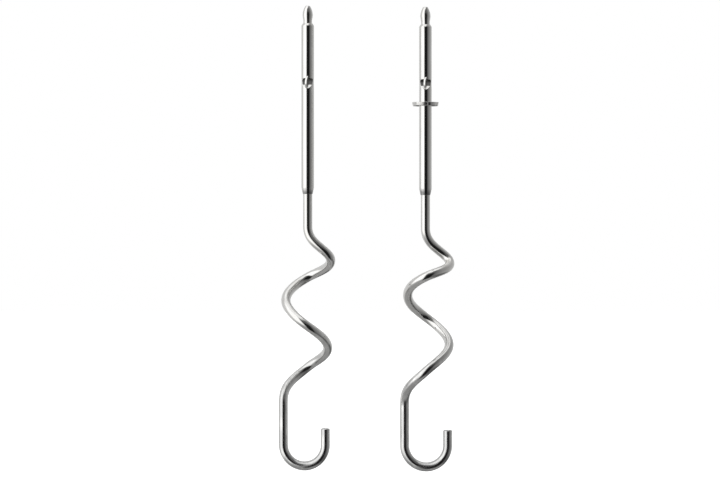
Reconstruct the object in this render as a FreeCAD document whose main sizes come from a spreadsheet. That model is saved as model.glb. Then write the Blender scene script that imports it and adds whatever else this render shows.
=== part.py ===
import FreeCAD, Part
import Sketcher
import math
import os

# A pair of dough hooks for a hand mixer. Each hook is a bent steel wire rod swaged into the
# lower end of a shank bar, with a turned tip pin pressed into the bar's upper end. The second
# hook turns the other way and carries a lobed collar, so that it fits only one of the mixer's
# two sockets.
#
# Frame: +Z up along the shanks. The origin is on the plain hook's shank axis, at the top of the
# shank's round wall. The collared hook hangs beside it along +X. The front is -Y.

os.makedirs("parts", exist_ok=True)
doc = FreeCAD.newDocument("DoughHooks")

QUARTER_TURNS = 7
BULGES = 4
PATH_SPANS = 36

# Heights are given as drops: how far a point lies below the top of the shank's round wall.
DIMENSIONS = [
    ("pair_spacing", 51.8, "between the two shank axes"),
    ("pair_drop", 0.5, "how much lower the collared hook hangs"),

    ("shank_diameter", 5.5, "outside of the shank bar"),
    ("shank_bore", 3.4, "blind bore for the tip pin's stem"),
    ("shank_length", 71.2, "round wall, from the chamfer to the swaged end"),
    ("shank_chamfer_height", 1.05, "top chamfer along the axis"),
    ("shank_chamfer_width", 0.65, "top chamfer across the wall"),
    ("swage_length", 2.9, "cone that closes the shank on the rod"),
    ("swage_lip_diameter", 4.25, "outside of the shank's lower lip"),
    ("waist_top_drop", 21.8, "end of the clear round wall, where an assumed slight waist starts"),
    ("waist_bottom_drop", 28.0, "lower end of the assumed waist"),
    ("waist_depth", 0.06, "depth of the assumed waist at its middle"),

    ("ear_drop", 24.9, "middle of the drive ears"),
    ("ear_across", 7.9, "across the two ears, crest to crest"),
    ("ear_crest_radius", 3.6, "curve of an ear's crest, along the shank"),
    ("ear_width", 0.9, "thickness of an ear"),
    ("ear_offset", 0.66, "from the shank's axis to the middle of an ear's thickness"),
    ("ear_skew", 16.0, "turn of an ear to the left of the flats beside it, degrees"),
    ("ear_lean", 3.5, "lean of each ear from the shank's axis, degrees"),
    ("pocket_floor", 1.12, "from the axis to the flat pressed beside an ear, at its top"),
    ("pocket_floor_bend", 1.18, "from the axis to the flat where it starts to rise"),
    ("pocket_floor_foot", 1.68, "from the axis to the flat at its foot"),
    ("pocket_mouth", 3.3, "from the axis to the punch's shoulders, clear of the shank"),
    ("pocket_top", 1.35, "top of the flat, above the ears' middle"),
    ("pocket_top_mouth", 1.92, "upper shoulder, above the ears' middle"),
    ("pocket_bend", 0.75, "where the flat starts to rise, above the ears' middle"),
    ("pocket_foot", 1.1, "foot of the flat, below the ears' middle"),
    ("pocket_foot_mouth", 3.63, "lower shoulder, below the ears' middle"),

    ("tip_neck_diameter", 3.8, "neck between the shank and the nose"),
    ("tip_neck_length", 1.2, "straight neck above the chamfer"),
    ("tip_nose_diameter", 4.5, "widest part of the nose"),
    ("tip_nose_height", 4.45, "from the origin up to the widest part"),
    ("tip_height", 8.8, "from the origin up to the point"),
    ("tip_flat_diameter", 1.8, "where the nose's curve meets the point"),
    ("tip_rounding", 0.5, "fillet on the point"),
    ("tip_stem_drop", 16.0, "lower end of the stem inside the shank"),

    ("rod_diameter", 4.0, "wire"),
    ("rod_top_drop", 44.0, "upper end of the wire, inside the shank"),
    ("rod_end_chamfer", 0.35, "chamfer on the free end"),
    ("lead_in_angle", 70.0, "turn made while the wire leaves the axis, degrees"),
    ("turn_squaring", 0.7, "how far the turns go from round, 0, to straight-sided, 1"),

    ("collar_diameter", 11.7, "over the lobes, at the upper face"),
    ("collar_taper", 0.3, "how much less the lobes reach at the underside"),
    ("collar_thickness", 1.65, "along the shank"),
    ("collar_drop", 34.8, "underside of the collar"),
    ("collar_lobes", 8, "lobes round the rim"),
    ("collar_notch_radius", 1.6, "hollow between two lobes"),
    ("collar_notch_depth", 0.2, "depth of that hollow"),
    ("collar_turn", 13.5, "turn of the first notch from the front, degrees"),

    ("plain_flat_turn", -6.0, "turn of the pressed flats from the front, degrees"),
    ("plain_lead_in_drop", 88.2, "where the wire starts to leave the axis"),
    ("plain_quarter_0_drop", 103.1, "first bulge"),
    ("plain_quarter_1_drop", 110.7, "first crossing of the axis"),
    ("plain_quarter_2_drop", 120.7, "second bulge"),
    ("plain_quarter_3_drop", 131.8, "second crossing"),
    ("plain_quarter_4_drop", 141.6, "third bulge"),
    ("plain_quarter_5_drop", 150.5, "third crossing"),
    ("plain_quarter_6_drop", 167.1, "top of the straight leg"),
    ("plain_reach_0", 10.1, "first bulge, from the axis"),
    ("plain_reach_1", 9.6, "second bulge, from the axis"),
    ("plain_reach_2", 8.8, "third bulge, from the axis"),
    ("plain_reach_3", 10.7, "straight leg, from the axis"),
    ("plain_bend_drop", 184.2, "centre of the J bend"),
    ("plain_bend_radius", 9.33, "centreline of the J bend"),
    ("plain_bend_turn", 8.0, "turn of the J bend towards the front, degrees"),
    ("plain_end_drop", 177.0, "free end"),

    ("collared_flat_turn", -1.3, "turn of the pressed flats from the front, degrees"),
    ("collared_lead_in_drop", 88.5, "where the wire starts to leave the axis"),
    ("collared_quarter_0_drop", 103.9, "first bulge"),
    ("collared_quarter_1_drop", 109.8, "first crossing of the axis"),
    ("collared_quarter_2_drop", 118.0, "second bulge"),
    ("collared_quarter_3_drop", 127.7, "second crossing"),
    ("collared_quarter_4_drop", 139.6, "third bulge"),
    ("collared_quarter_5_drop", 151.1, "third crossing"),
    ("collared_quarter_6_drop", 167.6, "top of the straight leg"),
    ("collared_reach_0", 10.7, "first bulge, from the axis"),
    ("collared_reach_1", 7.8, "second bulge, from the axis"),
    ("collared_reach_2", 10.4, "third bulge, from the axis"),
    ("collared_reach_3", 9.2, "straight leg, from the axis"),
    ("collared_bend_drop", 184.0, "centre of the J bend"),
    ("collared_bend_radius", 9.5, "centreline of the J bend"),
    ("collared_bend_turn", 6.0, "turn of the J bend towards the front, degrees"),
    ("collared_end_drop", 177.2, "free end"),
]

sheet = doc.addObject("Spreadsheet::Sheet", "Dimensions")
for row, (alias, value, meaning) in enumerate(DIMENSIONS, start=1):
    sheet.set(f"A{row}", meaning)
    sheet.set(f"B{row}", str(value))
    sheet.setAlias(f"B{row}", alias)
doc.recompute()


def dim(alias):
    return float(sheet.get(alias))


def cell(alias):
    return f"Dimensions.{alias}"


def bind(thing, **sizes):
    """Bind an object's sizes to expressions in the sheet's cells."""
    for name, expression in sizes.items():
        thing.setExpression(name, expression)


def origin_feature(body, role):
    for feature in body.Origin.OriginFeatures:
        if feature.Role == role:
            return feature
    raise LookupError(role)


def new_body(label):
    body = doc.addObject("PartDesign::Body", label)
    body.Label = label
    return body


def new_sketch(body, name, plane):
    sketch = body.newObject("Sketcher::SketchObject", name)
    sketch.AttachmentSupport = [(origin_feature(body, plane), "")]
    sketch.MapMode = "FlatFace"
    return sketch


def half_section(body, name, corners, arc_side=None):
    """Close a half section on the XZ plane through corners given as expressions (radius, height).

    The side that starts at corner arc_side is an arc, square to the radius at that corner.
    """
    sketch = new_sketch(body, name, "XZ_Plane")
    points = [
        FreeCAD.Vector(float(sheet.evalExpression(radius)), float(sheet.evalExpression(height)), 0)
        for radius, height in corners
    ]
    ends = points[1:] + points[:1]
    for side, (start, end) in enumerate(zip(points, ends)):
        if side == arc_side:
            inward = start.x - end.x
            rise = end.y - start.y
            radius = (inward**2 + rise**2) / (2 * inward)
            centre = FreeCAD.Vector(start.x - radius, start.y, 0)
            circle = Part.Circle(centre, FreeCAD.Vector(0, 0, 1), radius)
            sketch.addGeometry(Part.ArcOfCircle(circle, 0, math.asin(rise / radius)))
        else:
            sketch.addGeometry(Part.LineSegment(start, end))
    for side in range(len(points)):
        sketch.addConstraint(Sketcher.Constraint("Coincident", side, 2, (side + 1) % len(points), 1))
    for side, (radius, height) in enumerate(corners):
        for kind, axis, expression, value in (
            ("DistanceX", -2, radius, points[side].x),
            ("DistanceY", -1, height, points[side].y),
        ):
            if expression == "0":
                sketch.addConstraint(Sketcher.Constraint("PointOnObject", side, 1, axis))
            else:
                index = sketch.addConstraint(Sketcher.Constraint(kind, -1, 1, side, 1, value))
                sketch.setExpression(f"Constraints[{index}]", expression)
    if arc_side is not None:
        sketch.addConstraint(Sketcher.Constraint("Horizontal", arc_side, 3, arc_side, 1))
    return sketch


def revolve(body, name, sketch):
    turned = body.newObject("PartDesign::Revolution", name)
    turned.Profile = sketch
    turned.ReferenceAxis = (sketch, ["V_Axis"])
    turned.Angle = 360
    body.Tip = turned
    doc.recompute()
    return turned


def repeat_round_axis(body, name, features, occurrences):
    pattern = body.newObject("PartDesign::PolarPattern", name)
    pattern.Originals = features
    pattern.Axis = (origin_feature(body, "Z_Axis"), [""])
    pattern.Angle = 360
    bind(pattern, Occurrences=occurrences)
    body.Tip = pattern
    doc.recompute()
    return pattern


def hang(part, hook, turn="0"):
    """Put a part of one hook in its place: the collared hook hangs beside the plain one."""
    if hook == "collared":
        bind(part, **{
            ".Placement.Base.x": cell("pair_spacing"),
            ".Placement.Base.z": "-" + cell("pair_drop"),
        })
    part.Placement.Rotation = FreeCAD.Rotation(FreeCAD.Vector(0, 0, 1), 0)
    if turn != "0":
        bind(part, **{".Placement.Rotation.Angle": turn})


def shank_bar(hook):
    """The shank: bored at both ends, swaged on the wire, two drive ears between pressed flats."""
    body = new_body(f"{hook}_shank_bar")
    outside = cell("shank_diameter") + " / 2"
    bore = cell("shank_bore") + " / 2"
    wire = cell("rod_diameter") + " / 2"
    stem_foot = "-" + cell("tip_stem_drop")
    rod_top = "-" + cell("rod_top_drop")
    foot = f"-{cell('shank_length')} - {cell('swage_length')}"
    corners = [
        (outside, "0"),
        (f"{outside} - {cell('shank_chamfer_width')}", cell("shank_chamfer_height")),
        (bore, cell("shank_chamfer_height")),
        (bore, stem_foot),
        ("0", stem_foot),
        ("0", rod_top),
        (wire, rod_top),
        (wire, foot),
        (cell("swage_lip_diameter") + " / 2", foot),
        (outside, "-" + cell("shank_length")),
        (outside, "-" + cell("waist_bottom_drop")),
        (f"{outside} - {cell('waist_depth')}", "-" + cell("ear_drop")),
        (outside, "-" + cell("waist_top_drop")),
    ]
    bar = revolve(body, f"{hook}_bar", half_section(body, f"{hook}_bar_section", corners))
    plain_volume = bar.Shape.Volume

    middle = "-" + cell("ear_drop")
    punch = [
        (cell("pocket_mouth"), f"{middle} + {cell('pocket_top_mouth')}"),
        (cell("pocket_floor"), f"{middle} + {cell('pocket_top')}"),
        (cell("pocket_floor_bend"), f"{middle} + {cell('pocket_bend')}"),
        (cell("pocket_floor_foot"), f"{middle} - {cell('pocket_foot')}"),
        (cell("pocket_mouth"), f"{middle} - {cell('pocket_foot_mouth')}"),
    ]
    pressed = body.newObject("PartDesign::Pocket", f"{hook}_pressed_flat")
    pressed.Profile = half_section(body, f"{hook}_punch_section", punch)
    pressed.SideType = "Symmetric"
    bind(pressed, Length=f"2 * {cell('shank_diameter')}")
    body.Tip = pressed
    doc.recompute()
    pressed_volume = pressed.Shape.Volume

    ear = body.newObject("PartDesign::AdditiveCylinder", f"{hook}_ear")
    bind(ear, Radius=cell("ear_crest_radius"), Height=cell("ear_width"))
    ear.Angle = 180
    round_side_out = FreeCAD.Rotation(FreeCAD.Vector(0, 0, 1), -90)
    upright = FreeCAD.Rotation(FreeCAD.Vector(1, 0, 0), -90)
    on_edge = FreeCAD.Placement(FreeCAD.Vector(0, -dim("ear_width") / 2, 0), upright * round_side_out)
    lean = FreeCAD.Rotation(FreeCAD.Vector(1, 0, 0), -dim("ear_lean"))
    offset = dim("ear_offset")
    crest = math.sqrt((dim("ear_across") / 2) ** 2 - (offset + dim("ear_width") / 2) ** 2)
    reach = crest - dim("ear_crest_radius")
    seat = FreeCAD.Placement(FreeCAD.Vector(reach, offset, -dim("ear_drop")), lean)
    skew = FreeCAD.Placement(FreeCAD.Vector(), FreeCAD.Rotation(FreeCAD.Vector(0, 0, 1), -dim("ear_skew")))
    ear.Placement = skew * seat * on_edge

    repeat_round_axis(body, f"{hook}_drive_ears", [pressed, ear], "2")
    print(f"{hook} shank: bar {plain_volume:.1f} mm3, one side pressed {pressed_volume:.1f} mm3, "
          f"with ears {body.Shape.Volume:.1f} mm3")
    hang(body, hook, cell(f"{hook}_flat_turn") + " - 90")
    return body


def tip_pin(hook):
    """The turned pin: a stem pressed in the shank, a neck for the mixer's spring, a bullet nose."""
    body = new_body(f"{hook}_tip_pin")
    neck = cell("tip_neck_diameter") + " / 2"
    stem = cell("shank_bore") + " / 2"
    corners = [
        ("0", "-" + cell("tip_stem_drop")),
        (stem, "-" + cell("tip_stem_drop")),
        (stem, cell("shank_chamfer_height")),
        (neck, cell("shank_chamfer_height")),
        (neck, f"{cell('shank_chamfer_height')} + {cell('tip_neck_length')}"),
        (cell("tip_nose_diameter") + " / 2", cell("tip_nose_height")),
        (cell("tip_flat_diameter") + " / 2", cell("tip_height")),
        ("0", cell("tip_height")),
    ]
    nose_side = 5
    section = half_section(body, f"{hook}_tip_section", corners, nose_side)
    turned = revolve(body, f"{hook}_tip_turning", section)
    point_edges = [
        f"Edge{index}" for index, edge in enumerate(turned.Shape.Edges, start=1)
        if abs(edge.BoundBox.ZMin - dim("tip_height")) < 1e-4 and edge.BoundBox.XLength > 0
    ]
    rounding = body.newObject("PartDesign::Fillet", f"{hook}_tip_rounding")
    rounding.Base = (turned, point_edges)
    bind(rounding, Radius=cell("tip_rounding"))
    body.Tip = rounding
    hang(body, hook)
    return body


def keying_collar(hook):
    """The lobed ring that keys one hook to one socket of the mixer."""
    body = new_body("keying_collar")
    bore = cell("shank_diameter") + " / 2"
    rim = cell("collar_diameter") + " / 2"
    thickness = cell("collar_thickness")
    corners = [(bore, "0"), (f"{rim} - {cell('collar_taper')}", "0"), (rim, thickness), (bore, thickness)]
    disc = revolve(body, "collar_disc", half_section(body, "collar_section", corners))
    whole_volume = disc.Shape.Volume

    notch = new_sketch(body, "collar_notch", "XY_Plane")
    reach = f"{rim} - {cell('collar_notch_depth')} + {cell('collar_notch_radius')}"
    centre = FreeCAD.Vector(0, -float(sheet.evalExpression(reach)), 0)
    notch.addGeometry(Part.Circle(centre, FreeCAD.Vector(0, 0, 1), dim("collar_notch_radius")))
    notch.addConstraint(Sketcher.Constraint("PointOnObject", 0, 3, -2))
    offset = notch.addConstraint(Sketcher.Constraint("DistanceY", 0, 3, -1, 1, -centre.y))
    notch.setExpression(f"Constraints[{offset}]", reach)
    size = notch.addConstraint(Sketcher.Constraint("Radius", 0, dim("collar_notch_radius")))
    notch.setExpression(f"Constraints[{size}]", cell("collar_notch_radius"))
    cut = body.newObject("PartDesign::Pocket", "collar_notch_cut")
    cut.Profile = notch
    cut.Type = "ThroughAll"
    cut.Reversed = True
    doc.recompute()
    repeat_round_axis(body, "collar_notches", [cut], cell("collar_lobes"))
    print(f"collar: disc {whole_volume:.1f} mm3, notched {body.Shape.Volume:.1f} mm3")
    hang(body, hook, cell("collar_turn"))
    bind(body, **{".Placement.Base.z": f"-{cell('pair_drop')} - {cell('collar_drop')}"})
    return body


def ease(share):
    """Run smoothly from 0 to 1, level at both ends."""
    return share * share * (3 - 2 * share)


def turn_at(drop, stations):
    """The wire's turn about the shank's axis at a drop: a smooth curve through (drop, turn) stations."""
    slopes = [0.0]
    for before, after in zip(stations, stations[2:]):
        slopes.append((after[1] - before[1]) / (after[0] - before[0]))
    slopes.append(0.0)
    for index in range(len(stations) - 1):
        low, high = stations[index], stations[index + 1]
        if drop <= high[0] or index == len(stations) - 2:
            span = high[0] - low[0]
            share = (drop - low[0]) / span
            blend = ease(share)
            start_pull = slopes[index] * span * share * (1 - share) ** 2
            end_pull = slopes[index + 1] * span * (share - 1) * share**2
            return low[1] * (1 - blend) + high[1] * blend + start_pull + end_pull
    raise ValueError(drop)


def reach_at(turn, reaches):
    """The wire's distance from the axis: it blends from one bulge's reach to the next one's."""
    bulge = min(int(turn // 180), len(reaches) - 2)
    blend = ease(turn / 180 - bulge)
    return reaches[bulge] * (1 - blend) + reaches[bulge + 1] * blend


def swing_at(turn):
    """The share of the wire's reach that lies behind the axis: a sine with straighter flanks."""
    squaring = dim("turn_squaring") / 9
    angle = math.radians(turn)
    return (math.sin(angle) - squaring * math.sin(3 * angle)) / (1 + squaring)


def rod_path(hook, hand):
    """The wire's centreline, from inside the shank to the free end; hand is +1 or -1."""
    lead_in = dim(f"{hook}_lead_in_drop")
    quarters = [dim(f"{hook}_quarter_{index}_drop") for index in range(QUARTER_TURNS)]
    reaches = [dim(f"{hook}_reach_{index}") for index in range(BULGES)]
    stations = [(lead_in, -dim("lead_in_angle"))]
    stations += [(drop, 90.0 * index) for index, drop in enumerate(quarters)]

    # The lead-in dips the other way a little, then bends sharply to join the first turn.
    lead_length = quarters[0] - lead_in
    turn_rate = (stations[2][1] - stations[0][1]) / (stations[2][0] - stations[0][0])
    joining_slope = reaches[0] * turn_rate * swing_at(1.0)

    points = []
    for index in range(PATH_SPANS + 1):
        drop = lead_in + (quarters[-1] - lead_in) * index / PATH_SPANS
        turn = turn_at(drop, stations)
        share = (drop - lead_in) / lead_length
        if share < 1:
            reach = reaches[0] * ease(share)
            back = joining_slope * lead_length * share**2.5 * (share - 1)
        else:
            reach = reach_at(turn, reaches)
            back = reach * swing_at(turn)
        points.append(FreeCAD.Vector(reach * math.cos(math.radians(turn)), hand * back, -drop))
    down = FreeCAD.Vector(0, 0, -1)
    turns = Part.BSplineCurve()
    turns.interpolate(Points=points, InitialTangent=down, FinalTangent=down, Scale=False)

    radius = dim(f"{hook}_bend_radius")
    forward = FreeCAD.Rotation(FreeCAD.Vector(0, 0, 1), -dim(f"{hook}_bend_turn"))
    across = forward.multVec(FreeCAD.Vector(radius, 0, 0))
    top = FreeCAD.Vector(0, 0, -dim("rod_top_drop"))
    leg_foot = FreeCAD.Vector(-reaches[-1], 0, -dim(f"{hook}_bend_drop"))
    bottom = leg_foot + across - FreeCAD.Vector(0, 0, radius)
    bend_end = leg_foot + 2 * across
    free_end = FreeCAD.Vector(bend_end.x, bend_end.y, -dim(f"{hook}_end_drop"))
    runs = [
        Part.LineSegment(top, points[0]),
        turns,
        Part.LineSegment(points[-1], leg_foot),
        Part.Arc(leg_foot, bottom, bend_end),
        Part.LineSegment(bend_end, free_end),
    ]
    path = doc.addObject("Part::Feature", f"{hook}_rod_path")
    path.Shape = Part.Wire([run.toShape() for run in runs])
    hang(path, hook)
    return path


def hook_rod(hook, hand):
    """The bent wire: a circle swept along its centreline, chamfered at the free end."""
    path = rod_path(hook, hand)
    circle = doc.addObject("Part::Circle", f"{hook}_rod_section")
    bind(circle, Radius=cell("rod_diameter") + " / 2")
    hang(circle, hook)
    top = "-" + cell("rod_top_drop")
    bind(circle, **{".Placement.Base.z": f"{top} - {cell('pair_drop')}" if hook == "collared" else top})
    sweep = doc.addObject("Part::Sweep", f"{hook}_rod_sweep")
    sweep.Sections = [circle]
    sweep.Spine = (path, [f"Edge{index + 1}" for index in range(len(path.Shape.Edges))])
    sweep.Solid = True
    sweep.Frenet = False
    doc.recompute()
    section = math.pi * dim("rod_diameter") ** 2 / 4
    length = path.Shape.Length
    fullness = sweep.Shape.Volume / (section * length)
    print(f"{hook} rod: {length:.1f} mm long, volume / (section x length) {fullness:.4f}")

    free_end = path.Shape.Edges[-1].lastVertex().Point
    end_edge = next(
        index for index, edge in enumerate(sweep.Shape.Edges, start=1)
        if edge.Closed and edge.CenterOfMass.distanceToPoint(free_end) < dim("rod_diameter") / 4
    )
    rod = doc.addObject("Part::Chamfer", f"{hook}_hook_rod")
    rod.Base = sweep
    size = dim("rod_end_chamfer")
    rod.Edges = [(end_edge, size, size)]
    rod.Label = f"{hook}_hook_rod"
    return rod


sub_parts = []
for hook, hand in (("plain", 1), ("collared", -1)):
    sub_parts += [hook_rod(hook, hand), shank_bar(hook), tip_pin(hook)]
sub_parts.append(keying_collar("collared"))
doc.recompute()

for thing in doc.Objects:
    if "Invalid" in thing.State or "Error" in thing.State:
        raise RuntimeError(f"{thing.Label} failed: {thing.State}")
for part in sub_parts:
    if part.Shape.isNull() or not part.Shape.isValid():
        raise RuntimeError(f"{part.Label} has no valid shape")
    box = part.Shape.BoundBox
    print(f"{part.Label}: {len(part.Shape.Solids)} solid, {part.Shape.Volume:.1f} mm3, "
          f"z {box.ZMin:.2f} to {box.ZMax:.2f}, x {box.XMin:.2f} to {box.XMax:.2f}")
    part.Shape.exportStep(f"parts/{part.Label}.step")
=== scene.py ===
import math

import bmesh
import bpy
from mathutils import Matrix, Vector


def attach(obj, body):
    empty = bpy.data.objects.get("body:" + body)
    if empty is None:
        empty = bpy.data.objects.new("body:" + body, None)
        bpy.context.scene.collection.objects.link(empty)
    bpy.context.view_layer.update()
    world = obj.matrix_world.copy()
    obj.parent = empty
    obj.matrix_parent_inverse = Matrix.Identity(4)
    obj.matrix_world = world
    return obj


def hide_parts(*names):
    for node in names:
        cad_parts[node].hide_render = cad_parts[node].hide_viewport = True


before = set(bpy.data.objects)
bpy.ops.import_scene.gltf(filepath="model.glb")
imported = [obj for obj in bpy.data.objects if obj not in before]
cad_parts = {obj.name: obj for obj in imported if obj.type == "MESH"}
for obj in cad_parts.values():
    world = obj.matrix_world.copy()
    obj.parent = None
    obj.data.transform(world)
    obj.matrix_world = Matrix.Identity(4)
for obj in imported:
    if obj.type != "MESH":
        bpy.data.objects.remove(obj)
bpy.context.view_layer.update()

# A pair of steel dough hooks for a hand mixer. Sizes below are in millimetres, in the CAD frame:
# +Z up the shanks, the origin at the top of the plain shank's round wall, the front at -Y.
MM = 0.001
SHANK_R = 2.75
SHANK_BORE_R = 1.7
WIRE_R = 2.0
PIN_BORE_FLOOR, WIRE_BORE_TOP = -16.0, -44.0
SHARP_ANGLE = math.radians(40)

HOOKS = {
    "plain": {
        "axis_x": 0.0, "top_z": 0.0, "hand": 1, "flat_turn": -6.0,
        "lead_in": 88.2, "quarters": (103.1, 110.7, 120.7, 131.8, 141.6, 150.5, 167.1),
        "reaches": (10.1, 9.6, 8.8, 10.7), "bend_drop": 184.2, "bend_radius": 9.33, "bend_turn": 8.0,
        "end_drop": 177.0,
    },
    "collared": {
        "axis_x": 51.8, "top_z": -0.5, "hand": -1, "flat_turn": -1.3,
        "lead_in": 88.5, "quarters": (103.9, 109.8, 118.0, 127.7, 139.6, 151.1, 167.6),
        "reaches": (10.7, 7.8, 10.4, 9.2), "bend_drop": 184.0, "bend_radius": 9.5, "bend_turn": 6.0,
        "end_drop": 177.2,
    },
}


# ---------------------------------------------------------------- smooth maths

def ease(share):
    return share * share * (3 - 2 * share)


def smooth_min(a, b, k):
    h = max(k - abs(a - b), 0.0) / k
    return min(a, b) - h * h * k / 4


def smooth_max(a, b, k):
    return -smooth_min(-a, -b, k)


# ---------------------------------------------------------------- meshes

def make_piece(name, hook, shape, node, material):
    """A smooth-shaded piece in the hook's place.

    shape is a mesh, or (verts, faces, uvs) with a uv in mm for each face corner.
    """
    mesh = mesh_of(name, shape)
    place = HOOKS[hook]
    for vert in mesh.vertices:
        vert.co = ((vert.co.x + place["axis_x"]) * MM, vert.co.y * MM, (vert.co.z + place["top_z"]) * MM)
    mesh.shade_smooth()
    mesh.set_sharp_from_angle(angle=SHARP_ANGLE)
    mesh.materials.clear()
    mesh.materials.append(material)
    piece = bpy.data.objects.new(name, mesh)
    bpy.context.scene.collection.objects.link(piece)
    weigh = piece.modifiers.new("even_normals", "WEIGHTED_NORMAL")
    weigh.keep_sharp = True
    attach(piece, f"{hook}_hook")
    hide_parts(node)
    return piece


def mesh_of(name, shape):
    """A mesh with outward normals, in mm. A shape that is a mesh already is kept."""
    if isinstance(shape, bpy.types.Mesh):
        shape.name = name
        return shape
    verts, faces, uvs = shape
    mesh = bpy.data.meshes.new(name)
    mesh.from_pydata(verts, [], faces)
    layer = mesh.uv_layers.new(name="Draw")
    layer.data.foreach_set("uv", [value for pair in uvs for value in pair])
    shell = bmesh.new()
    shell.from_mesh(mesh)
    bmesh.ops.recalc_face_normals(shell, faces=shell.faces)
    shell.to_mesh(mesh)
    shell.free()
    return mesh


def skin(rows, columns, alongs, arounds):
    """Faces and corner uvs between closed rows of vertex indices; repeated corners are dropped."""
    faces, uvs = [], []
    for ring in range(len(rows) - 1):
        for column in range(columns):
            after = (column + 1) % columns
            corners = [
                (rows[ring][column], arounds[column], alongs[ring]),
                (rows[ring][after], arounds[column + 1], alongs[ring]),
                (rows[ring + 1][after], arounds[column + 1], alongs[ring + 1]),
                (rows[ring + 1][column], arounds[column], alongs[ring + 1]),
            ]
            kept = [corner for index, corner in enumerate(corners) if corner[0] != corners[index - 1][0]]
            faces.append([corner[0] for corner in kept])
            uvs += [corner[1:] for corner in kept]
    return faces, uvs


def united(first, second):
    """The solid union of two closed shapes, as a mesh."""
    bodies = []
    for shape in (first, second):
        body = bpy.data.objects.new("operand", mesh_of("operand", shape))
        bpy.context.scene.collection.objects.link(body)
        bodies.append(body)
    join = bodies[0].modifiers.new("join", "BOOLEAN")
    join.operation, join.solver, join.object = "UNION", "EXACT", bodies[1]
    graph = bpy.context.evaluated_depsgraph_get()
    mesh = bpy.data.meshes.new_from_object(bodies[0].evaluated_get(graph), depsgraph=graph)
    for body in bodies:
        bpy.data.objects.remove(body)
    return mesh


def soften(corners, steps=5):
    """A polyline (r, z) whose corners with a radius are rounded. corners: (r, z, radius)."""
    points = []
    for index, (r, z, radius) in enumerate(corners):
        here = Vector((r, z))
        if not radius or index in (0, len(corners) - 1):
            points.append((r, z))
            continue
        back = (Vector(corners[index - 1][:2]) - here).normalized()
        onward = (Vector(corners[index + 1][:2]) - here).normalized()
        half = back.angle(onward) / 2
        if half > math.radians(89):
            points.append((r, z))
            continue
        reach = radius / math.tan(half)
        centre = here + (back + onward).normalized() * (radius / math.sin(half))
        start, end = here + back * reach - centre, here + onward * reach - centre
        sweep = start.angle_signed(end)
        for step in range(steps + 1):
            angle = -sweep * step / steps
            turned = Vector((
                start.x * math.cos(angle) - start.y * math.sin(angle),
                start.x * math.sin(angle) + start.y * math.cos(angle),
            ))
            points.append(tuple(centre + turned))
    return points


def divide(points, longest):
    """Add points so that no run of the polyline is longer than longest."""
    result = [points[0]]
    for start, end in zip(points, points[1:]):
        length = math.dist(start, end)
        count = max(1, math.ceil(length / longest))
        for step in range(1, count + 1):
            share = step / count
            result.append((start[0] + (end[0] - start[0]) * share, start[1] + (end[1] - start[1]) * share))
    return result


def turned_shape(outline, columns, radius_at=None, closed=False):
    """A turned solid from an (r, z) outline; a point on the axis is one vertex.

    columns is a list of azimuths in degrees, 0 at the front and 90 to the viewer's right.
    radius_at(azimuth, z, r) may reshape the outline's radius.
    """
    verts, rows, alongs, run = [], [], [], 0.0
    for index, (r, z) in enumerate(outline):
        run += math.dist(outline[index - 1], (r, z)) if index else 0.0
        alongs.append(run)
        if r < 1e-6:
            rows.append([len(verts)] * len(columns))
            verts.append((0.0, 0.0, z))
            continue
        rows.append(list(range(len(verts), len(verts) + len(columns))))
        for azimuth in columns:
            reach = radius_at(azimuth, z, r) if radius_at else r
            turn = math.radians(azimuth)
            verts.append((reach * math.sin(turn), -reach * math.cos(turn), z))
    if closed:
        rows.append(rows[0])
        alongs.append(run + math.dist(outline[-1], outline[0]))
    arounds = [math.radians(azimuth) * SHANK_R for azimuth in columns]
    arounds.append(arounds[0] + 2 * math.pi * SHANK_R)
    faces, uvs = skin(rows, len(columns), alongs, arounds)
    return verts, faces, uvs


def even_columns(count):
    return [360 * index / count for index in range(count)]


# ---------------------------------------------------------------- the wire

FIRST_TURN = -70.0
QUARTER = 90.0
SQUARING = 0.7 / 9
WIRE_SPACING = 2.0
TURN_SAMPLES = 400
LEG_STEPS, BEND_STEPS = 8, 90
WIRE_COLUMNS = 64
TIP_CLEARANCE = 0.6
# (distance from the free end, radius) down the trimmed, slightly domed end
TIP_PROFILE = (
    (0.52, 2.0), (0.42, 1.985), (0.33, 1.93), (0.22, 1.83), (0.10, 1.72), (0.045, 1.64),
    (0.015, 1.52), (0.0, 1.3), (0.0, 0.8), (0.0, 0.3),
)


def turn_at(drop, stations):
    """The wire's turn round its axis, in degrees, eased between (drop, turn) stations."""
    slopes = [0.0]
    for before, after in zip(stations, stations[2:]):
        slopes.append((after[1] - before[1]) / (after[0] - before[0]))
    slopes.append(0.0)
    index = 0
    while index < len(stations) - 2 and drop > stations[index + 1][0]:
        index += 1
    low, high = stations[index], stations[index + 1]
    span = high[0] - low[0]
    share = (drop - low[0]) / span
    blend = ease(share)
    start_pull = slopes[index] * span * share * (1 - share) ** 2
    end_pull = slopes[index + 1] * span * (share - 1) * share**2
    return low[1] * (1 - blend) + high[1] * blend + start_pull + end_pull


def reach_at(turn, reaches):
    """The wire's distance from its axis, eased from each bulge to the next."""
    bulge = min(int(turn // 180), len(reaches) - 2)
    blend = ease(turn / 180 - bulge)
    return reaches[bulge] * (1 - blend) + reaches[bulge + 1] * blend


def swing_at(turn):
    """The share of the wire's reach that lies behind the axis: a sine with straighter flanks."""
    angle = math.radians(turn)
    return (math.sin(angle) - SQUARING * math.sin(3 * angle)) / (1 + SQUARING)


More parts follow.
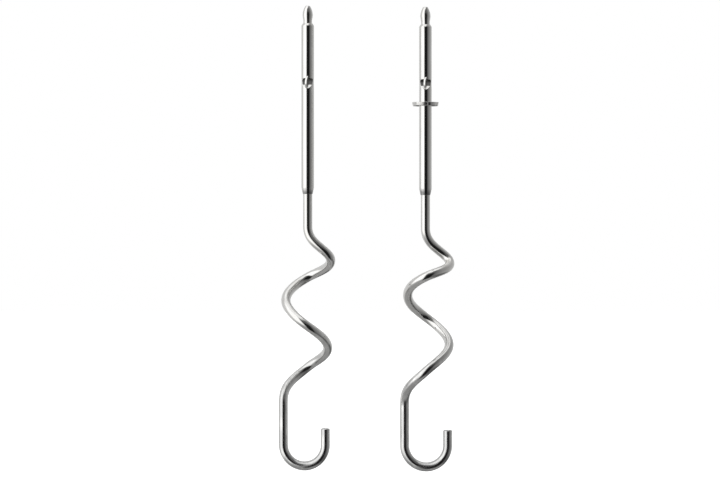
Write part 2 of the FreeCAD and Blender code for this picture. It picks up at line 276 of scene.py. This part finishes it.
def wire_centreline(hook):
    """Points down the wire, from inside the shank, round the turns and the J, to the free end."""
    place = HOOKS[hook]
    lead_in, quarters, reaches = place["lead_in"], place["quarters"], place["reaches"]
    stations = [(lead_in, FIRST_TURN)]
    stations += [(drop, QUARTER * index) for index, drop in enumerate(quarters)]
    lead_length = quarters[0] - lead_in
    turn_rate = (stations[2][1] - stations[0][1]) / (stations[2][0] - stations[0][0])
    joining_slope = reaches[0] * turn_rate * swing_at(1.0)
    straight_steps = int((lead_in + WIRE_BORE_TOP) / WIRE_SPACING)
    points = [Vector((0, 0, WIRE_BORE_TOP - WIRE_SPACING * step)) for step in range(straight_steps)]
    for index in range(TURN_SAMPLES + 1):
        drop = lead_in + (quarters[-1] - lead_in) * index / TURN_SAMPLES
        turn = turn_at(drop, stations)
        share = (drop - lead_in) / lead_length
        if share < 1:
            reach = reaches[0] * ease(share)
            back = joining_slope * lead_length * share**2.5 * (share - 1)
        else:
            reach = reach_at(turn, reaches)
            back = reach * swing_at(turn)
        points.append(Vector((reach * math.cos(math.radians(turn)), place["hand"] * back, -drop)))
    forward = math.radians(place["bend_turn"])
    across = Vector((math.cos(forward), -math.sin(forward), 0)) * place["bend_radius"]
    foot = Vector((-reaches[-1], 0, -place["bend_drop"]))
    down = Vector((0, 0, -place["bend_radius"]))
    points += [points[-1].lerp(foot, step / LEG_STEPS) for step in range(1, LEG_STEPS)]
    for step in range(BEND_STEPS + 1):
        angle = math.pi * step / BEND_STEPS
        points.append(foot + across * (1 - math.cos(angle)) + down * math.sin(angle))
    tip = Vector((points[-1].x, points[-1].y, -place["end_drop"]))
    points += [points[-1].lerp(tip, step / LEG_STEPS) for step in range(1, LEG_STEPS + 1)]
    return points


def wire_rod(hook, material):
    """The bent wire: a round tube swept down the centreline, with a trimmed, slightly domed free end."""
    points = wire_centreline(hook)
    end = points.pop()
    into = (end - points[-1]).normalized()
    while (end - points[-1]).length < TIP_CLEARANCE:
        points.pop()
    radii = [WIRE_R] * len(points)
    for back, radius in TIP_PROFILE:
        points.append(end - into * back)
        radii.append(radius)
    columns = WIRE_COLUMNS
    verts, alongs = [], []
    normal, run = Vector((0, -1, 0)), 0.0
    for index, point in enumerate(points):
        ahead = points[min(index + 1, len(points) - 1)]
        behind = points[max(index - 1, 0)]
        along = (ahead - behind).normalized() if (ahead - behind).length > 1e-6 else into
        if index >= len(radii) - len(TIP_PROFILE):
            along = into
        normal = (normal - along * normal.dot(along)).normalized()
        side = along.cross(normal)
        run += (point - behind).length
        alongs.append(run)
        for column in range(columns):
            turn = 2 * math.pi * column / columns
            verts.append(tuple(point + (normal * math.cos(turn) + side * math.sin(turn)) * radii[index]))
    arounds = [2 * math.pi * WIRE_R * column / columns for column in range(columns + 1)]
    rows = [range(ring * columns, (ring + 1) * columns) for ring in range(len(points))]
    faces, uvs = skin(rows, columns, alongs, arounds)
    last = (len(points) - 1) * columns
    for cap in (tuple(reversed(range(columns))), tuple(range(last, last + columns))):
        faces.append(cap)
        uvs += [(arounds[corner % columns], alongs[-1] if corner >= last else 0.0) for corner in cap]
    shape = verts, faces, uvs
    return make_piece(f"{hook}_wire", hook, shape, f"{hook}_hook_rod", material)


# ---------------------------------------------------------------- the shank

EAR_DROP = 24.9
EAR_ACROSS = 7.9
EAR_CREST_R = 3.6
EAR_WIDTH = 0.9
EAR_OFFSET = 0.66
EAR_SKEW = 16.0
EAR_LEAN = 3.5
EAR_FILLET, EAR_INNER = 0.13, 0.4
EAR_STEPS, EAR_CORNER_STEPS = 90, 4
WAIST_HALF, WAIST_DEPTH = 3.1, 0.06
SHAPED_HALF = 3.4
FLAT_SPAN = 88
EDGE_ROUNDING, TOP_EDGE_ROUNDING = 0.09, 0.5
TOP_EDGE_RISE, TOP_EDGE_SPAN = 0.9, 0.6
# The flat beside an ear is four straight runs: distance from the axis at a rise, and its slope
FLAT_TOP = (1.12, 1.35, 3.82)
FLAT_FLOOR = (1.12, 1.35, -0.10)
FLAT_SLOPE = (1.18, 0.75, -0.27)
FLAT_RAMP = (1.68, -1.1, -0.64)
FLAT_TOP_BLEND, FLAT_BLEND = 0.25, 0.12
BAR_COLUMNS = 360
EAR_ZONE_TOP, EDGE_ZONE_TOP, EDGE_ZONE_FOOT = -21.4, -22.7, -24.0
EDGE_SPACING, EAR_SPACING, PLAIN_SPACING = 0.03, 0.07, 1.5


def flat_depth(rise):
    """Distance from the axis to the flat pressed beside an ear, at a height above the ear's middle."""
    top, floor, slope, ramp = (
        depth + (rise - at) * gain for depth, at, gain in (FLAT_TOP, FLAT_FLOOR, FLAT_SLOPE, FLAT_RAMP)
    )
    upper = smooth_max(top, floor, FLAT_TOP_BLEND)
    lower = smooth_max(slope, ramp, FLAT_BLEND)
    return smooth_max(upper, lower, FLAT_BLEND)


def shank_radius(hook):
    """The function that presses the waist and the two flats into the round bar."""
    turned = HOOKS[hook]["flat_turn"]

    def radius_at(azimuth, z, r):
        rise = z + EAR_DROP
        if r < SHANK_R - 1e-6 or abs(rise) > SHAPED_HALF:
            return r
        if abs(rise) < WAIST_HALF:
            r -= WAIST_DEPTH * (1 + math.cos(math.pi * rise / WAIST_HALF)) / 2
        share = min(max((rise - TOP_EDGE_RISE) / TOP_EDGE_SPAN, 0.0), 1.0)
        rounding = EDGE_ROUNDING + TOP_EDGE_ROUNDING * ease(share)
        for side in (0, 180):
            offset = (azimuth - turned - side + 180) % 360 - 180
            if abs(offset) < FLAT_SPAN:
                r = smooth_min(r, flat_depth(rise) / math.cos(math.radians(offset)), rounding)
        return r

    return radius_at


def ears(hook):
    """Two leaning half-discs that stand out of the shank on opposite sides, with rounded crests."""
    fillet, inner = EAR_FILLET, EAR_INNER
    half, radius = EAR_WIDTH / 2, EAR_CREST_R
    crest = math.sqrt((EAR_ACROSS / 2) ** 2 - (EAR_OFFSET + half) ** 2)
    section = [(radius - inner, -half), (2 * fillet, -half)]
    upward = range(EAR_CORNER_STEPS + 1)
    for side, span in ((-1, upward), (1, reversed(upward))):
        for step in span:
            angle = math.pi / 2 * step / EAR_CORNER_STEPS
            inset = fillet - fillet * math.sin(angle)
            section.append((inset, side * (half - fillet + fillet * math.cos(angle))))
    section += [(2 * fillet, half), (radius - inner, half)]
    lean = math.radians(EAR_LEAN)
    verts, faces, uvs = [], [], []
    steps = EAR_STEPS
    for side in (0, 180):
        turn = math.radians(HOOKS[hook]["flat_turn"] - 90 - EAR_SKEW + side)
        first = len(verts)
        for step in range(steps + 1):
            angle = math.pi * (step / steps - 0.5)
            for inset, across in section:
                out = crest - radius + (radius - inset) * math.cos(angle)
                rise = (radius - inset) * math.sin(angle)
                aside = across * math.cos(lean) + rise * math.sin(lean) + EAR_OFFSET
                height = rise * math.cos(lean) - across * math.sin(lean) - EAR_DROP
                verts.append((
                    out * math.cos(turn) - aside * math.sin(turn),
                    out * math.sin(turn) + aside * math.cos(turn), height,
                ))
        count = len(section)
        rows = [range(first + step * count, first + (step + 1) * count) for step in range(steps + 1)]
        alongs = [math.pi * radius * step / steps for step in range(steps + 1)]
        arounds = [across for inset, across in section] + [section[0][1]]
        more_faces, more_uvs = skin(rows, count, alongs, arounds)
        faces += more_faces
        uvs += more_uvs
        for row, along in ((rows[0], alongs[0]), (rows[-1], alongs[-1])):
            faces.append(list(row))
            uvs += [(around, along) for around in arounds[:-1]]
    return verts, faces, uvs


def shank_bar(hook, material):
    """The bar: bored at both ends, swaged on the wire, with its flats and ears."""
    outline = soften([
        (0.0, PIN_BORE_FLOOR, 0), (SHANK_BORE_R, PIN_BORE_FLOOR, 0), (SHANK_BORE_R, 1.05, 0.12),
        (2.1, 1.05, 0.12), (SHANK_R, 0.0, 0.30), (SHANK_R, EAR_ZONE_TOP, 0), (SHANK_R, EDGE_ZONE_TOP, 0),
        (SHANK_R, EDGE_ZONE_FOOT, 0), (SHANK_R, -28.4, 0), (SHANK_R, -71.2, 1.6),
        (2.15, -73.95, 0.1), (2.02, -74.1, 0.04), (WIRE_R, WIRE_BORE_TOP, 0), (0.0, WIRE_BORE_TOP, 0),
    ])
    spacings = {
        EAR_ZONE_TOP: EAR_SPACING, EDGE_ZONE_TOP: EDGE_SPACING, EDGE_ZONE_FOOT: EAR_SPACING,
    }
    fine = []
    for start, end in zip(outline, outline[1:]):
        fine += divide([start, end], spacings.get(start[1], PLAIN_SPACING))[:-1]
    fine.append(outline[-1])
    bar = turned_shape(fine, even_columns(BAR_COLUMNS), shank_radius(hook))
    shape = united(bar, ears(hook))
    return make_piece(f"{hook}_shank", hook, shape, f"{hook}_shank_bar", material)


# ---------------------------------------------------------------- tip and collar

PIN_STEM_R = 1.68
NOSE_STEPS, PIN_COLUMNS, PIN_SPACING, PIN_ROUND_STEPS = 24, 96, 0.5, 8


def tip_pin(hook, material):
    """The turned pin: a stem in the bore, a neck and a bullet nose with a small flat."""
    neck, nose, widest, top, flat = 1.9, 2.25, 4.45, 8.8, 0.9
    inward, rise = nose - flat, top - widest
    radius = (inward**2 + rise**2) / (2 * inward)
    span = math.asin(rise / radius)
    corners = [(0.0, PIN_BORE_FLOOR, 0), (PIN_STEM_R, PIN_BORE_FLOOR, 0.1), (PIN_STEM_R, 1.04, 0)]
    corners += [(neck, 1.06, 0), (neck, 2.25, 0.35), (nose - 0.03, widest - 0.15, 0.3)]
    for step in range(1, NOSE_STEPS + 1):
        angle = span * step / NOSE_STEPS
        corners.append((nose - radius + radius * math.cos(angle), widest + radius * math.sin(angle), 0))
    corners[-1] = (flat, top, 0.45)
    corners.append((0.0, top, 0))
    outline = divide(soften(corners, PIN_ROUND_STEPS), PIN_SPACING)
    shape = turned_shape(outline, even_columns(PIN_COLUMNS))
    return make_piece(f"{hook}_tip", hook, shape, f"{hook}_tip_pin", material)


COLLAR_RIM, COLLAR_TAPER, COLLAR_LOBES = 5.85, 0.3, 8
NOTCH_RADIUS, NOTCH_DEPTH, COLLAR_TURN = 1.6, 0.2, 13.5
NOTCH_BLEND, COLLAR_HUB = 0.15, 0.8
COLLAR_LOW, COLLAR_HIGH = -34.8, -33.15
COLLAR_BORE_R, COLLAR_FACE_R = 2.76, 2.95
COLLAR_COLUMNS, COLLAR_SPACING = 360, 0.3


def collar_radius(azimuth, z, r):
    """Hollow the rim between the lobes; the flat faces shrink with it."""
    if r < SHANK_R + COLLAR_HUB:
        return r
    pitch = 360 / COLLAR_LOBES
    offset = math.radians((azimuth - COLLAR_TURN + pitch / 2) % pitch - pitch / 2)
    centre = COLLAR_RIM - NOTCH_DEPTH + NOTCH_RADIUS
    inside = NOTCH_RADIUS**2 - (centre * math.sin(offset)) ** 2
    rim = COLLAR_RIM
    if inside > 0:
        rim = smooth_min(rim, centre * math.cos(offset) - math.sqrt(inside), NOTCH_BLEND)
    return r - (COLLAR_RIM - rim) * (r - SHANK_R) / (COLLAR_RIM - SHANK_R)


def keying_collar(hook, material):
    """The lobed ring, its rim a little wider at the top."""
    low, high = COLLAR_LOW, COLLAR_HIGH
    outline = soften([
        (COLLAR_BORE_R, low + 0.25, 0), (COLLAR_FACE_R, low, 0.12), (COLLAR_RIM - COLLAR_TAPER, low, 0.3),
        (COLLAR_RIM, high, 0.16), (COLLAR_FACE_R, high, 0.12), (COLLAR_BORE_R, high - 0.25, 0),
    ])
    columns = even_columns(COLLAR_COLUMNS)
    shape = turned_shape(divide(outline, COLLAR_SPACING), columns, collar_radius, closed=True)
    return make_piece("collar", hook, shape, "keying_collar", material)


# ---------------------------------------------------------------- materials

# How the polish varies: the noise's usual range, and the tones at its bright and worn ends
CLOUD_SCALE = (260.0, 260.0, 90.0)
CLOUD_SHARE = 0.45
POLISH_LOW, POLISH_HIGH = 0.3, 0.7
BRIGHT_TONE = (1.05, 1.05, 1.05)
WORN_TONE = (0.84, 0.825, 0.79)
# Where the noise lets the painted shade at the swage and the darkening of the lower wire show, and how much
# rougher they make the steel
SHADE_AND_DARKENING_PATCH_LOW, SHADE_AND_DARKENING_PATCH_HIGH = 0.30, 0.52
DULLED_ROUGHNESS = 0.08


def node(tree, kind, inputs=(), **settings):
    """A new node; inputs are values or sockets to link, by the socket's name or number."""
    made = tree.nodes.new(kind)
    for name, value in settings.items():
        setattr(made, name, value)
    for socket, value in dict(inputs).items():
        if isinstance(value, bpy.types.NodeSocket):
            tree.links.new(value, made.inputs[socket])
        else:
            made.inputs[socket].default_value = value
    return made


def scaled_noise(tree, coordinates, scale, detail=2.0, rough=0.5):
    """Noise over coordinates multiplied by scale, from 0 to 1."""
    spread = node(tree, "ShaderNodeVectorMath", {0: coordinates, 1: scale}, operation="MULTIPLY")
    return node(
        tree, "ShaderNodeTexNoise",
        {"Vector": spread.outputs[0], "Scale": 1.0, "Detail": detail, "Roughness": rough},
    ).outputs["Fac"]


def between(tree, value, low, high):
    """0 below low, 1 above high and smooth between; low may be the larger."""
    return node(tree, "ShaderNodeMapRange", {
        "Value": value, "From Min": low, "From Max": high, "To Min": 0.0, "To Max": 1.0,
    }, interpolation_type="SMOOTHSTEP").outputs["Result"]


def tinted(base, tint):
    return (*[part * share for part, share in zip(base, tint)], 1)


def steel(name, base, roughness, spread, line_scale, line_depth, mark_scale, mark_depth, painted_shade_and_darkening=None):
    """Polished steel: fine lines left by drawing or turning, an uneven polish with wear, and stray
    scratches.

    The last argument is (height in m where it starts, height where it is full, how dark): the colour darkens
    in patches between the two heights. At the swage it is painted shade, the dark that the taper reflects
    where it faces down. On the lower wire, which is a little darker in the photo, it darkens the wire
    towards the bottom.
    """
    material = bpy.data.materials.new(name)
    material.use_nodes = True
    tree = material.node_tree
    tree.nodes.clear()
    drawn = node(tree, "ShaderNodeUVMap", uv_map="Draw").outputs["UV"]
    solid = node(tree, "ShaderNodeTexCoord").outputs["Object"]
    lines = scaled_noise(tree, drawn, line_scale, 3.0, 0.65)
    marks = scaled_noise(tree, drawn, mark_scale, 2.0, 0.6)
    cloud = scaled_noise(tree, solid, CLOUD_SCALE, 3.0, 0.55)

    polish = node(tree, "ShaderNodeMix", {0: CLOUD_SHARE, 2: lines, 3: cloud}, data_type="FLOAT")
    rough = node(tree, "ShaderNodeMapRange", {
        "Value": polish.outputs[0], "From Min": POLISH_LOW, "From Max": POLISH_HIGH,
        "To Min": roughness - spread, "To Max": roughness + spread,
    })
    tone = node(tree, "ShaderNodeMapRange", {
        "Value": polish.outputs[0], "From Min": POLISH_LOW, "From Max": POLISH_HIGH,
        "To Min": 0.0, "To Max": 1.0,
    })
    colour = node(tree, "ShaderNodeMix", {
        0: tone.outputs["Result"], 6: tinted(base, BRIGHT_TONE), 7: tinted(base, WORN_TONE),
    }, data_type="RGBA").outputs[2]
    roughened = rough.outputs["Result"]
    # Painted shade at the swage, and the lower wire darkened towards the bottom: the colour darkens in
    # patches between two heights, and the steel is made rougher there
    if painted_shade_and_darkening:
        start, full, darkness = painted_shade_and_darkening
        height = node(tree, "ShaderNodeSeparateXYZ", {0: solid}).outputs["Z"]
        painted_shade_and_darkening_mask = node(tree, "ShaderNodeMath", {
            0: between(tree, height, start, full),
            1: between(tree, cloud, SHADE_AND_DARKENING_PATCH_LOW, SHADE_AND_DARKENING_PATCH_HIGH),
        }, operation="MULTIPLY").outputs[0]
        colour = node(tree, "ShaderNodeMix", {
            0: painted_shade_and_darkening_mask, 6: colour, 7: tinted(base, (darkness, darkness, darkness)),
        }, data_type="RGBA").outputs[2]
        roughened = node(tree, "ShaderNodeMath", {
            0: painted_shade_and_darkening_mask, 1: DULLED_ROUGHNESS, 2: roughened,
        }, operation="MULTIPLY_ADD").outputs[0]
    cut = node(tree, "ShaderNodeBump", {"Height": lines, "Strength": 1.0, "Distance": line_depth})
    scratched = node(tree, "ShaderNodeBump", {
        "Height": marks, "Strength": 1.0, "Distance": mark_depth, "Normal": cut.outputs["Normal"],
    })
    shader = node(tree, "ShaderNodeBsdfPrincipled", {
        "Base Color": colour, "Metallic": 1.0, "Roughness": roughened,
        "Normal": scratched.outputs["Normal"],
    })
    node(tree, "ShaderNodeOutputMaterial", {"Surface": shader.outputs[0]})
    return material


STEEL = (0.76, 0.76, 0.755)
PRESSED = (0.72, 0.72, 0.715)
# The lower wire is darkened in patches, more and more towards the bottom of the J
WIRE_DARKER_BELOW = (-0.10, -0.19, 0.72)
# Painted shade: the swage's taper is darkened where it faces down and reflects the dark below
SWAGE_PAINTED_SHADE = (-0.0712, -0.0738, 0.34)
wire_steel = steel(
    "drawn_wire_steel", STEEL, roughness=0.13, spread=0.04, line_scale=(9.0, 0.12, 1), line_depth=3.5e-6,
    mark_scale=(3.0, 5.0, 1), mark_depth=1.5e-6, painted_shade_and_darkening=WIRE_DARKER_BELOW,
)
shank_steel = steel(
    "polished_bar_steel", STEEL, roughness=0.11, spread=0.03, line_scale=(8.0, 0.08, 1), line_depth=3e-6,
    mark_scale=(2.0, 6.0, 1), mark_depth=1e-6, painted_shade_and_darkening=SWAGE_PAINTED_SHADE,
)
pin_steel = steel(
    "turned_pin_steel", STEEL, roughness=0.12, spread=0.04, line_scale=(0.3, 14.0, 1), line_depth=3e-6,
    mark_scale=(6.0, 2.0, 1), mark_depth=1e-6,
)
collar_steel = steel(
    "pressed_steel", PRESSED, roughness=0.28, spread=0.06, line_scale=(4.0, 5.0, 1), line_depth=6e-6,
    mark_scale=(9.0, 9.0, 1), mark_depth=2e-6,
)

for hook_name in HOOKS:
    wire_rod(hook_name, wire_steel)
    shank_bar(hook_name, shank_steel)
    tip_pin(hook_name, pin_steel)
keying_collar("collared", collar_steel)


# ---------------------------------------------------------------- studio

# The right side's grey rises evenly from the first azimuth to the second
SIDE_SPAN, SIDE_LEVELS = (30.0, 180.0), (0.10, 0.82)
# (azimuth low, high, softness), (height low, high, softness), brightness; later ones cover earlier ones
WINDOWS = (
    ((-200, -8, 8), (-100, 100, 10), 0.78),
    ((-200, 200, 1), (-100, -32, 14), 0.40),
    ((10, 150, 16), (-56, -26, 10), 0.14),
    ((-88, -26, 10), (-20, 64, 10), 1.5),
    ((-24, 40, 8), (20, 52, 10), 0.15),
    ((-200, 200, 1), (66, 100, 8), 1.2),
    ((-60, 20, 10), (55, 100, 8), 1.2),
    ((-20, 34, 6), (-54, 27, 9), 0.012),
    ((168, 200, 4), (-54, 27, 9), 0.08),
    ((-200, -168, 4), (-54, 27, 9), 0.08),
)
FLOOR_HALF, FLOOR_HEIGHT = 6.0, -0.27
FLOOR_GREY, FLOOR_ROUGHNESS, FLOOR_GLOW = 0.9, 0.9, 0.6
CAMERA_PLACE = (0.02301, -1.32, -0.09425)
CAMERA_LENS, CAMERA_SENSOR, CAMERA_CLIP = 150, 36, (0.05, 20)


def window(tree, value, low, high, soft):
    """1 between low and high, 0 outside, with soft edges."""
    rise = node(tree, "ShaderNodeMapRange", {
        "Value": value, "From Min": low - soft, "From Max": low + soft, "To Min": 0.0, "To Max": 1.0,
    }, interpolation_type="SMOOTHSTEP").outputs["Result"]
    fall = node(tree, "ShaderNodeMapRange", {
        "Value": value, "From Min": high - soft, "From Max": high + soft, "To Min": 1.0, "To Max": 0.0,
    }, interpolation_type="SMOOTHSTEP").outputs["Result"]
    return node(tree, "ShaderNodeMath", {0: rise, 1: fall}, operation="MULTIPLY").outputs[0]


def make_studio():
    """A white tent round the hooks: a soft box on the left, a dark gap in front, a grey side on the right.

    The last two windows are a dark strip behind, which is not from the photo and gives the back view
    contrast. Azimuths are in degrees round the object, 0 at the front and 90 to the right.
    """
    world = bpy.data.worlds.new("studio")
    bpy.context.scene.world = world
    world.use_nodes = True
    tree = world.node_tree
    tree.nodes.clear()
    way = node(tree, "ShaderNodeTexCoord").outputs["Generated"]
    parts = node(tree, "ShaderNodeSeparateXYZ", {0: way})
    back = node(tree, "ShaderNodeMath", {0: parts.outputs["Y"], 1: -1.0}, operation="MULTIPLY").outputs[0]
    round_ = node(tree, "ShaderNodeMath", {0: parts.outputs["X"], 1: back}, operation="ARCTAN2").outputs[0]
    azimuth = node(tree, "ShaderNodeMath", {0: round_}, operation="DEGREES").outputs[0]
    up = node(tree, "ShaderNodeMath", {0: parts.outputs["Z"]}, operation="ARCSINE").outputs[0]
    height = node(tree, "ShaderNodeMath", {0: up}, operation="DEGREES").outputs[0]

    level = node(tree, "ShaderNodeMapRange", {
        "Value": azimuth, "From Min": SIDE_SPAN[0], "From Max": SIDE_SPAN[1],
        "To Min": SIDE_LEVELS[0], "To Max": SIDE_LEVELS[1],
    }).outputs["Result"]
    for across, upright, brightness in WINDOWS:
        mask = node(tree, "ShaderNodeMath", {
            0: window(tree, azimuth, *across), 1: window(tree, height, *upright),
        }, operation="MULTIPLY").outputs[0]
        level = node(tree, "ShaderNodeMix", {0: mask, 2: level, 3: brightness}, data_type="FLOAT").outputs[0]

    seen = node(tree, "ShaderNodeLightPath").outputs["Is Camera Ray"]
    shown = node(tree, "ShaderNodeMix", {0: seen, 2: level, 3: 1.0}, data_type="FLOAT").outputs[0]
    light = node(tree, "ShaderNodeBackground", {"Color": shown})
    node(tree, "ShaderNodeOutputWorld", {"Surface": light.outputs[0]})


def make_floor():
    """A plain white sweep well below the hooks, lit from within like a light table."""
    size = FLOOR_HALF
    corners = [(x, y, FLOOR_HEIGHT) for x, y in ((-size, -size), (size, -size), (size, size), (-size, size))]
    mesh = bpy.data.meshes.new("floor")
    mesh.from_pydata(corners, [], [(0, 1, 2, 3)])
    floor = bpy.data.objects.new("floor", mesh)
    bpy.context.scene.collection.objects.link(floor)
    material = bpy.data.materials.new("floor_white")
    material.use_nodes = True
    shader = material.node_tree.nodes["Principled BSDF"]
    shader.inputs["Base Color"].default_value = (FLOOR_GREY, FLOOR_GREY, FLOOR_GREY, 1)
    shader.inputs["Roughness"].default_value = FLOOR_ROUGHNESS
    shader.inputs["Emission Color"].default_value = (1, 1, 1, 1)
    shader.inputs["Emission Strength"].default_value = FLOOR_GLOW
    mesh.materials.append(material)
    floor.visible_glossy = False
    floor.visible_diffuse = False


def make_camera():
    """A long lens straight at the front."""
    data = bpy.data.cameras.new("camera")
    data.lens = CAMERA_LENS
    data.sensor_width = CAMERA_SENSOR
    data.clip_start, data.clip_end = CAMERA_CLIP
    camera = bpy.data.objects.new("camera", data)
    camera.location = CAMERA_PLACE
    camera.rotation_euler = (math.radians(90), 0, 0)
    bpy.context.scene.collection.objects.link(camera)
    bpy.context.scene.camera = camera


make_studio()
make_floor()
make_camera()
bpy.context.scene.view_settings.view_transform = "Standard"
bpy.context.scene.view_settings.look = "None"

bpy.context.view_layer.update()
